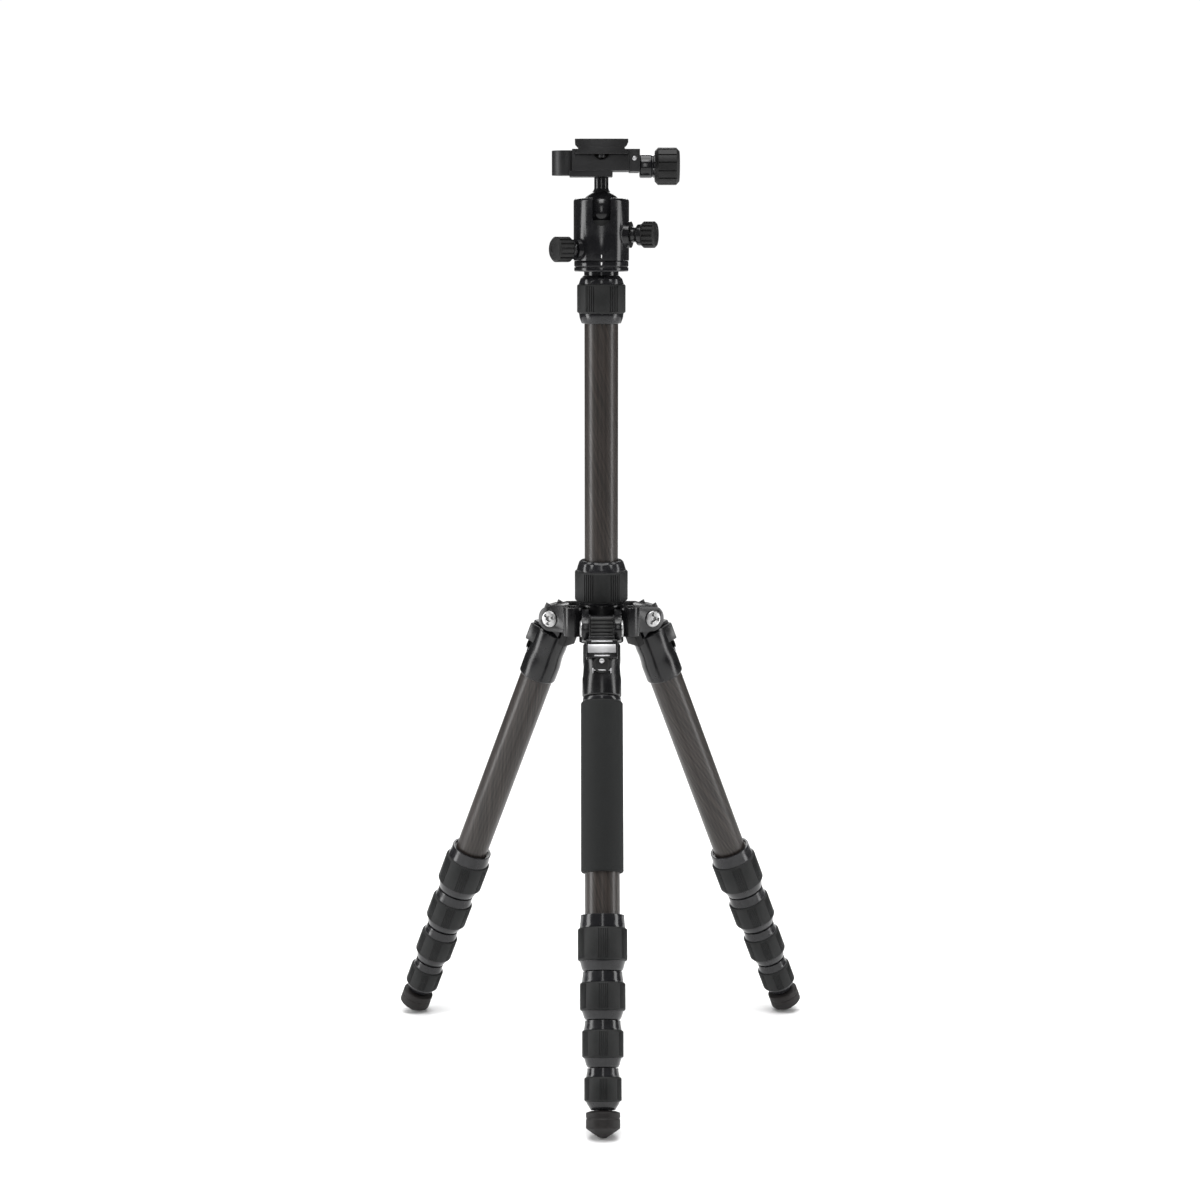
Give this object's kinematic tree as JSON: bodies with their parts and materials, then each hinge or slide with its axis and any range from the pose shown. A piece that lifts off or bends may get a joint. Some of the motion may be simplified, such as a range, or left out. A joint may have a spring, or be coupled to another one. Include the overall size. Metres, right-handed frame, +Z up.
{
  "type": "travel tripod with ball head",
  "caption": "Folding travel tripod with telescoping twist-lock carbon legs, a lifting centre column and a ball head with a dovetail quick-release clamp.",
  "frame": {"origin": "on the centre column's axis at floor level, between the three feet", "axes": "+Z up along the column; leg a points along -Y; +X is the side of the clamp's knob"},
  "size_m": [0.3236, 0.2834, 0.6866],
  "materials": {
    "carbon_tube": "carbon fibre tube, satin clear coat",
    "anodised_black": "black anodised casting",
    "tab_plastic": "ribbed black moulding",
    "lock_rubber": "ribbed rubber over a black collar",
    "foot_rubber": "smooth matt rubber",
    "grip_foam": "fine matt closed foam",
    "bright_steel": "bright turned steel",
    "bush_plastic": "natural acetal, dark",
    "gloss_black": "gloss black anodised",
    "satin_black": "satin bead-blasted black",
    "knob_rubber": "ribbed rubber",
    "level_acrylic": "bubble level, tinted liquid",
    "pad_rubber": "ribbed cork-rubber pad"
  },
  "bodies": {
    "hub": {"hub": "anodised_black", "leg_pivot_pins": "bright_steel", "hub_screws": "bright_steel", "hub_bush": "bush_plastic"},
    "leg_a_upper": {"leg_a_yoke": "anodised_black", "leg_a_tube_1": "carbon_tube", "leg_grip": "grip_foam"},
    "leg_a_angle_tab": {"leg_a_angle_tab": "tab_plastic"},
    "leg_a_lock_1": {"leg_a_lock_1": "lock_rubber"},
    "leg_a_section_2": {"leg_a_tube_2": "carbon_tube"},
    "leg_a_lock_2": {"leg_a_lock_2": "lock_rubber"},
    "leg_a_section_3": {"leg_a_tube_3": "carbon_tube"},
    "leg_a_lock_3": {"leg_a_lock_3": "lock_rubber"},
    "leg_a_section_4": {"leg_a_tube_4": "carbon_tube"},
    "leg_a_lock_4": {"leg_a_lock_4": "lock_rubber"},
    "leg_a_section_5": {"leg_a_tube_5": "carbon_tube", "leg_a_foot": "foot_rubber"},
    "leg_b_upper": {"leg_b_yoke": "anodised_black", "leg_b_tube_1": "carbon_tube"},
    "leg_b_angle_tab": {"leg_b_angle_tab": "tab_plastic"},
    "leg_b_lock_1": {"leg_b_lock_1": "lock_rubber"},
    "leg_b_section_2": {"leg_b_tube_2": "carbon_tube"},
    "leg_b_lock_2": {"leg_b_lock_2": "lock_rubber"},
    "leg_b_section_3": {"leg_b_tube_3": "carbon_tube"},
    "leg_b_lock_3": {"leg_b_lock_3": "lock_rubber"},
    "leg_b_section_4": {"leg_b_tube_4": "carbon_tube"},
    "leg_b_lock_4": {"leg_b_lock_4": "lock_rubber"},
    "leg_b_section_5": {"leg_b_tube_5": "carbon_tube", "leg_b_foot": "foot_rubber"},
    "leg_c_upper": {"leg_c_yoke": "anodised_black", "leg_c_tube_1": "carbon_tube"},
    "leg_c_angle_tab": {"leg_c_angle_tab": "tab_plastic"},
    "leg_c_lock_1": {"leg_c_lock_1": "lock_rubber"},
    "leg_c_section_2": {"leg_c_tube_2": "carbon_tube"},
    "leg_c_lock_2": {"leg_c_lock_2": "lock_rubber"},
    "leg_c_section_3": {"leg_c_tube_3": "carbon_tube"},
    "leg_c_lock_3": {"leg_c_lock_3": "lock_rubber"},
    "leg_c_section_4": {"leg_c_tube_4": "carbon_tube"},
    "leg_c_lock_4": {"leg_c_lock_4": "lock_rubber"},
    "leg_c_section_5": {"leg_c_tube_5": "carbon_tube", "leg_c_foot": "foot_rubber"},
    "hub_lock": {"hub_lock": "lock_rubber"},
    "column": {"column_tube": "carbon_tube"},
    "weight_hook": {"weight_hook": "bright_steel"},
    "column_lock": {"column_lock": "lock_rubber"},
    "inner_column": {"column_inner_tube": "carbon_tube", "head_mount_plate": "anodised_black", "pan_base": "anodised_black"},
    "head": {"head_body": "gloss_black"},
    "ball_lock_knob": {"ball_lock_knob": "knob_rubber"},
    "pan_lock_knob": {"pan_lock_knob": "knob_rubber"},
    "ball_cup": {"ball_cup": "bush_plastic"},
    "ball": {"ball_stem": "gloss_black", "clamp_body": "satin_black", "spirit_level": "level_acrylic"},
    "clamp_jaw": {"clamp_jaw": "satin_black"},
    "clamp_knob": {"clamp_knob": "knob_rubber"},
    "release_plate": {"quick_release_plate": "satin_black", "plate_pads": "pad_rubber"},
    "camera_screw": {"camera_screw": "bright_steel"}
  },
  "joints": [
    {"name": "leg_a_hinge", "type": "hinge", "parent": "hub", "child": "leg_a_upper", "pos_m": [0, -0.03643, 0.33501], "axis": [-1, 0, 0], "range_deg": [-22, 153]},
    {"name": "leg_a_tab_slide", "type": "slide", "parent": "leg_a_upper", "child": "leg_a_angle_tab", "axis": [0, 0.9225, -0.3859], "range_m": [-0.004, 0], "stiffness_N_per_m": 400, "springref_m": 0.0015},
    {"name": "leg_a_lock_1_twist", "type": "hinge", "parent": "leg_a_upper", "child": "leg_a_lock_1", "pos_m": [0, -0.11693, 0.14257], "axis": [0, -0.3859, -0.9225], "range_deg": [0, 100]},
    {"name": "leg_a_section_2_slide", "type": "slide", "parent": "leg_a_upper", "child": "leg_a_section_2", "axis": [0, 0.3859, 0.9225], "range_m": [-0.1748, 0]},
    {"name": "leg_a_lock_2_twist", "type": "hinge", "parent": "leg_a_section_2", "child": "leg_a_lock_2", "pos_m": [0, -0.13229, 0.10585], "axis": [0, -0.3859, -0.9225], "range_deg": [0, 100]},
    {"name": "leg_a_section_3_slide", "type": "slide", "parent": "leg_a_section_2", "child": "leg_a_section_3", "axis": [0, 0.3859, 0.9225], "range_m": [-0.1748, 0]},
    {"name": "leg_a_lock_3_twist", "type": "hinge", "parent": "leg_a_section_3", "child": "leg_a_lock_3", "pos_m": [0, -0.14529, 0.07476], "axis": [0, -0.3859, -0.9225], "range_deg": [0, 100]},
    {"name": "leg_a_section_4_slide", "type": "slide", "parent": "leg_a_section_3", "child": "leg_a_section_4", "axis": [0, 0.3859, 0.9225], "range_m": [-0.1748, 0]},
    {"name": "leg_a_lock_4_twist", "type": "hinge", "parent": "leg_a_section_4", "child": "leg_a_lock_4", "pos_m": [0, -0.15791, 0.04459], "axis": [0, -0.3859, -0.9225], "range_deg": [0, 100]},
    {"name": "leg_a_section_5_slide", "type": "slide", "parent": "leg_a_section_4", "child": "leg_a_section_5", "axis": [0, 0.3859, 0.9225], "range_m": [-0.1748, 0]},
    {"name": "leg_b_hinge", "type": "hinge", "parent": "hub", "child": "leg_b_upper", "pos_m": [0.03155, 0.01821, 0.33501], "axis": [0.5, -0.866, 0], "range_deg": [-22, 153]},
    {"name": "leg_b_tab_slide", "type": "slide", "parent": "leg_b_upper", "child": "leg_b_angle_tab", "axis": [-0.7989, -0.4613, -0.3859], "range_m": [-0.004, 0], "stiffness_N_per_m": 400, "springref_m": 0.0015},
    {"name": "leg_b_lock_1_twist", "type": "hinge", "parent": "leg_b_upper", "child": "leg_b_lock_1", "pos_m": [0.10126, 0.05847, 0.14257], "axis": [0.3342, 0.193, -0.9225], "range_deg": [0, 100]},
    {"name": "leg_b_section_2_slide", "type": "slide", "parent": "leg_b_upper", "child": "leg_b_section_2", "axis": [-0.3342, -0.193, 0.9225], "range_m": [-0.1748, 0]},
    {"name": "leg_b_lock_2_twist", "type": "hinge", "parent": "leg_b_section_2", "child": "leg_b_lock_2", "pos_m": [0.11457, 0.06614, 0.10585], "axis": [0.3342, 0.193, -0.9225], "range_deg": [0, 100]},
    {"name": "leg_b_section_3_slide", "type": "slide", "parent": "leg_b_section_2", "child": "leg_b_section_3", "axis": [-0.3342, -0.193, 0.9225], "range_m": [-0.1748, 0]},
    {"name": "leg_b_lock_3_twist", "type": "hinge", "parent": "leg_b_section_3", "child": "leg_b_lock_3", "pos_m": [0.12583, 0.07265, 0.07476], "axis": [0.3342, 0.193, -0.9225], "range_deg": [0, 100]},
    {"name": "leg_b_section_4_slide", "type": "slide", "parent": "leg_b_section_3", "child": "leg_b_section_4", "axis": [-0.3342, -0.193, 0.9225], "range_m": [-0.1748, 0]},
    {"name": "leg_b_lock_4_twist", "type": "hinge", "parent": "leg_b_section_4", "child": "leg_b_lock_4", "pos_m": [0.13676, 0.07896, 0.04459], "axis": [0.3342, 0.193, -0.9225], "range_deg": [0, 100]},
    {"name": "leg_b_section_5_slide", "type": "slide", "parent": "leg_b_section_4", "child": "leg_b_section_5", "axis": [-0.3342, -0.193, 0.9225], "range_m": [-0.1748, 0]},
    {"name": "leg_c_hinge", "type": "hinge", "parent": "hub", "child": "leg_c_upper", "pos_m": [-0.03155, 0.01821, 0.33501], "axis": [0.5, 0.866, 0], "range_deg": [-22, 153]},
    {"name": "leg_c_tab_slide", "type": "slide", "parent": "leg_c_upper", "child": "leg_c_angle_tab", "axis": [0.7989, -0.4613, -0.3859], "range_m": [-0.004, 0], "stiffness_N_per_m": 400, "springref_m": 0.0015},
    {"name": "leg_c_lock_1_twist", "type": "hinge", "parent": "leg_c_upper", "child": "leg_c_lock_1", "pos_m": [-0.10126, 0.05847, 0.14257], "axis": [-0.3342, 0.193, -0.9225], "range_deg": [0, 100]},
    {"name": "leg_c_section_2_slide", "type": "slide", "parent": "leg_c_upper", "child": "leg_c_section_2", "axis": [0.3342, -0.193, 0.9225], "range_m": [-0.1748, 0]},
    {"name": "leg_c_lock_2_twist", "type": "hinge", "parent": "leg_c_section_2", "child": "leg_c_lock_2", "pos_m": [-0.11457, 0.06614, 0.10585], "axis": [-0.3342, 0.193, -0.9225], "range_deg": [0, 100]},
    {"name": "leg_c_section_3_slide", "type": "slide", "parent": "leg_c_section_2", "child": "leg_c_section_3", "axis": [0.3342, -0.193, 0.9225], "range_m": [-0.1748, 0]},
    {"name": "leg_c_lock_3_twist", "type": "hinge", "parent": "leg_c_section_3", "child": "leg_c_lock_3", "pos_m": [-0.12583, 0.07265, 0.07476], "axis": [-0.3342, 0.193, -0.9225], "range_deg": [0, 100]},
    {"name": "leg_c_section_4_slide", "type": "slide", "parent": "leg_c_section_3", "child": "leg_c_section_4", "axis": [0.3342, -0.193, 0.9225], "range_m": [-0.1748, 0]},
    {"name": "leg_c_lock_4_twist", "type": "hinge", "parent": "leg_c_section_4", "child": "leg_c_lock_4", "pos_m": [-0.13676, 0.07896, 0.04459], "axis": [-0.3342, 0.193, -0.9225], "range_deg": [0, 100]},
    {"name": "leg_c_section_5_slide", "type": "slide", "parent": "leg_c_section_4", "child": "leg_c_section_5", "axis": [0.3342, -0.193, 0.9225], "range_m": [-0.1748, 0]},
    {"name": "hub_lock_twist", "type": "hinge", "parent": "hub", "child": "hub_lock", "pos_m": [0, 0, 0.34821], "axis": [0, 0, 1], "range_deg": [0, 100]},
    {"name": "column_slide", "type": "slide", "parent": "hub", "child": "column", "axis": [0, 0, 1], "range_m": [-0.1728, 0]},
    {"name": "weight_hook_drop", "type": "slide", "parent": "column", "child": "weight_hook", "axis": [0, 0, 1], "range_m": [-0.012, 0], "stiffness_N_per_m": 60, "springref_m": 0.01},
    {"name": "column_lock_twist", "type": "hinge", "parent": "column", "child": "column_lock", "pos_m": [0, 0, 0.55511], "axis": [0, 0, 1], "range_deg": [0, 100]},
    {"name": "inner_column_slide", "type": "slide", "parent": "column", "child": "inner_column", "axis": [0, 0, 1], "range_m": [0, 0.15]},
    {"name": "head_pan", "type": "hinge", "parent": "inner_column", "child": "head", "pos_m": [0, 0, 0.60061], "axis": [0, 0, 1], "continuous": true},
    {"name": "ball_lock_knob_turn", "type": "hinge", "parent": "head", "child": "ball_lock_knob", "pos_m": [0.02212, -0.00593, 0.61911], "axis": [0.9659, -0.2588, 0], "range_deg": [0, 360]},
    {"name": "pan_lock_knob_turn", "type": "hinge", "parent": "head", "child": "pan_lock_knob", "pos_m": [-0.01983, -0.01145, 0.60861], "axis": [-0.866, -0.5, 0], "range_deg": [0, 360]},
    {"name": "ball_spin", "type": "hinge", "parent": "head", "child": "ball_cup", "pos_m": [0, 0, 0.63591], "axis": [0, 0, 1], "range_deg": [-360, 0]},
    {"name": "ball_tilt", "type": "hinge", "parent": "ball_cup", "child": "ball", "pos_m": [0, 0, 0.63591], "axis": [-1, 0, 0], "range_deg": [-90, 35]},
    {"name": "clamp_jaw_slide", "type": "slide", "parent": "ball", "child": "clamp_jaw", "axis": [1, 0, 0], "range_m": [0, 0.003]},
    {"name": "clamp_knob_turn", "type": "hinge", "parent": "clamp_jaw", "child": "clamp_knob", "pos_m": [0.03, 0, 0.66791], "axis": [1, 0, 0], "range_deg": [0, 1080]},
    {"name": "plate_slide", "type": "slide", "parent": "ball", "child": "release_plate", "axis": [0, 1, 0], "range_m": [-0.008, 0.008]},
    {"name": "camera_screw_lift", "type": "slide", "parent": "release_plate", "child": "camera_screw", "axis": [0, 0, 1], "range_m": [0, 0.005]}
  ],
  "couplings": [
    {"joint": "clamp_jaw_slide", "follows": "clamp_knob_turn", "m_per_rad": 0.00015915}
  ]
}
